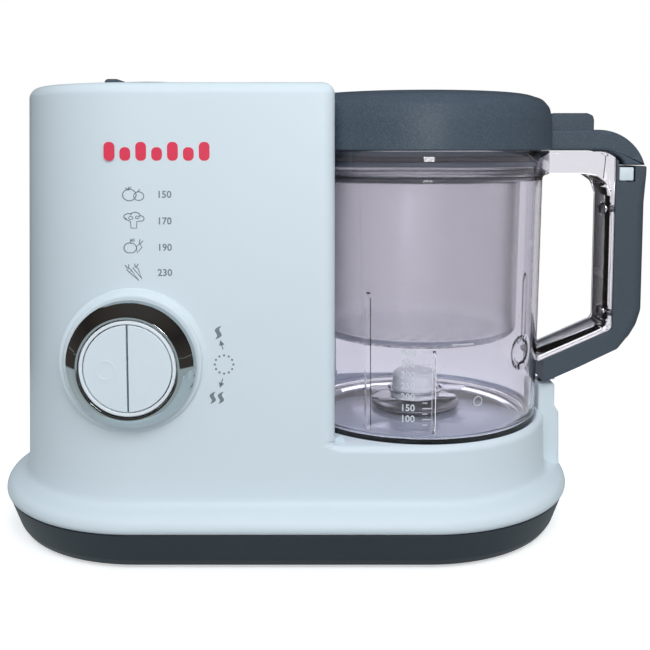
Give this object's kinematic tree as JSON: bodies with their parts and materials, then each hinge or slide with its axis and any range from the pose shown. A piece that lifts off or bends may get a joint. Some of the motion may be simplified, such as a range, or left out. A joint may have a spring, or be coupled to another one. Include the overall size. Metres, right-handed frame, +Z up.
{
  "type": "baby food maker",
  "caption": "Countertop baby food steamer and blender: steam tower with control knob, lift-off clear jar with handle, basket, blades and twist lid, on a wide base.",
  "frame": {"origin": "middle of the whole object's box, on the table under the feet", "axes": "+X from the steam tower towards the jar's handle, -Y the front with the knob, +Z up"},
  "size_m": [0.319, 0.152, 0.2212],
  "materials": {
    "white_shell": "satin moulded, cool white",
    "dark_plastic": "fine texture, blue-grey",
    "dark_tray": "fine spark texture, blue-grey",
    "lid_plastic": "speckled satin, blue-grey",
    "black_plastic": "matt",
    "white_plastic": "satin white",
    "clear_plastic": "clear copolyester",
    "chrome": "polished plating",
    "steel": "brushed",
    "aluminium": "cast, satin",
    "copper": "varnished copper winding",
    "board": "solder mask",
    "rubber": "matt moulded"
  },
  "bodies": {
    "housing": {"base_tray": "dark_tray", "foot_1": "rubber", "foot_2": "rubber", "foot_3": "rubber", "foot_4": "rubber", "base_screw_1": "steel", "base_screw_2": "steel", "base_screw_3": "steel", "base_screw_4": "steel", "main_housing": "white_shell", "cord_gland": "rubber", "boiler_tank": "steel", "boiler_seal": "rubber", "heating_plate": "aluminium", "heater_element": "steel", "thermostat": "black_plastic", "steam_pipe": "rubber", "steam_outlet": "dark_plastic", "button_bezel": "white_plastic", "button_switches": "black_plastic", "rotary_switch": "black_plastic", "control_board": "board", "ring_return_spring": "steel", "off_spring": "steel", "on_spring": "steel", "motor_mount": "steel", "motor_stator": "copper", "upper_bearing": "steel", "lower_bearing": "steel", "spill_seal": "rubber", "micro_switch": "black_plastic"},
    "motor": {"motor_rotor": "steel", "motor_shaft": "steel", "cooling_fan": "black_plastic", "drive_coupling": "black_plastic"},
    "speed_ring": {"speed_ring": "chrome", "ring_carrier": "dark_plastic"},
    "off_button": {"off_button": "white_plastic"},
    "on_button": {"on_button": "white_plastic"},
    "cap_seal": {"tank_cap_seal": "rubber"},
    "tank_cap": {"tank_cap": "dark_plastic"},
    "jar": {"jar": "clear_plastic", "blade_base": "steel", "blade_seal": "rubber", "handle_cover": "dark_plastic", "handle_screw_1": "steel", "handle_screw_2": "steel", "interlock_spring": "steel"},
    "blade": {"blade_shaft": "steel", "driven_coupling": "black_plastic", "lower_blade": "steel", "upper_blade": "steel", "blade_hub": "white_plastic"},
    "interlock_rod": {"interlock_rod": "white_plastic"},
    "basket": {"steam_basket": "clear_plastic"},
    "lid_seal": {"lid_seal": "rubber"},
    "lid": {"lid_shell": "lid_plastic", "lid_inner": "dark_plastic"},
    "plunger": {"switch_plunger": "black_plastic"}
  },
  "joints": [
    {"name": "motor_spin", "type": "hinge", "parent": "housing", "child": "motor", "pos_m": [0.0475, 0, 0.02], "axis": [0, 0, 1], "continuous": true},
    {"name": "blade_spin", "type": "hinge", "parent": "jar", "child": "blade", "pos_m": [0.0475, 0, 0.06], "axis": [0, 0, 1], "continuous": true},
    {"name": "speed_ring_turn", "type": "hinge", "parent": "housing", "child": "speed_ring", "pos_m": [-0.0835, -0.07, 0.0926], "axis": [0, -1, 0], "range_deg": [-25, 25], "stiffness_Nm_per_rad": 0.05, "deforming": ["ring_return_spring"]},
    {"name": "off_button_press", "type": "slide", "parent": "housing", "child": "off_button", "axis": [0, 1, 0], "range_m": [0, 0.0015], "stiffness_N_per_m": 300, "springref_m": -0.001, "deforming": ["off_spring"]},
    {"name": "on_button_press", "type": "slide", "parent": "housing", "child": "on_button", "axis": [0, 1, 0], "range_m": [0, 0.0015], "stiffness_N_per_m": 300, "springref_m": -0.001, "deforming": ["on_spring"]},
    {"name": "cap_lift", "type": "slide", "parent": "housing", "child": "cap_seal", "axis": [0, 0, 1], "range_m": [0, 0.05]},
    {"name": "cap_twist", "type": "hinge", "parent": "cap_seal", "child": "tank_cap", "pos_m": [-0.0835, 0, 0.214], "axis": [0, 0, 1], "range_deg": [0, 60]},
    {"name": "jar_lift", "type": "slide", "parent": "housing", "child": "jar", "axis": [0, 0, 1], "range_m": [0, 0.12]},
    {"name": "basket_lift", "type": "slide", "parent": "jar", "child": "basket", "axis": [0, 0, 1], "range_m": [0, 0.14]},
    {"name": "lid_lift", "type": "slide", "parent": "basket", "child": "lid_seal", "axis": [0, 0, 1], "range_m": [0, 0.06]},
    {"name": "lid_twist", "type": "hinge", "parent": "lid_seal", "child": "lid", "pos_m": [0.0475, 0, 0.19], "axis": [0, 0, 1], "range_deg": [0, 30]},
    {"name": "interlock_rod_slide", "type": "slide", "parent": "jar", "child": "interlock_rod", "axis": [0, 0, 1], "range_m": [0, 0.003], "deforming": ["interlock_spring"]},
    {"name": "plunger_slide", "type": "slide", "parent": "housing", "child": "plunger", "axis": [0, 0, 1], "range_m": [0, 0.003]}
  ],
  "couplings": [
    {"joint": "blade_spin", "follows": "motor_spin", "ratio": 1},
    {"joint": "interlock_rod_slide", "follows": "lid_twist", "m_per_rad": 0.0057},
    {"joint": "plunger_slide", "follows": "lid_twist", "m_per_rad": 0.0057}
  ]
}
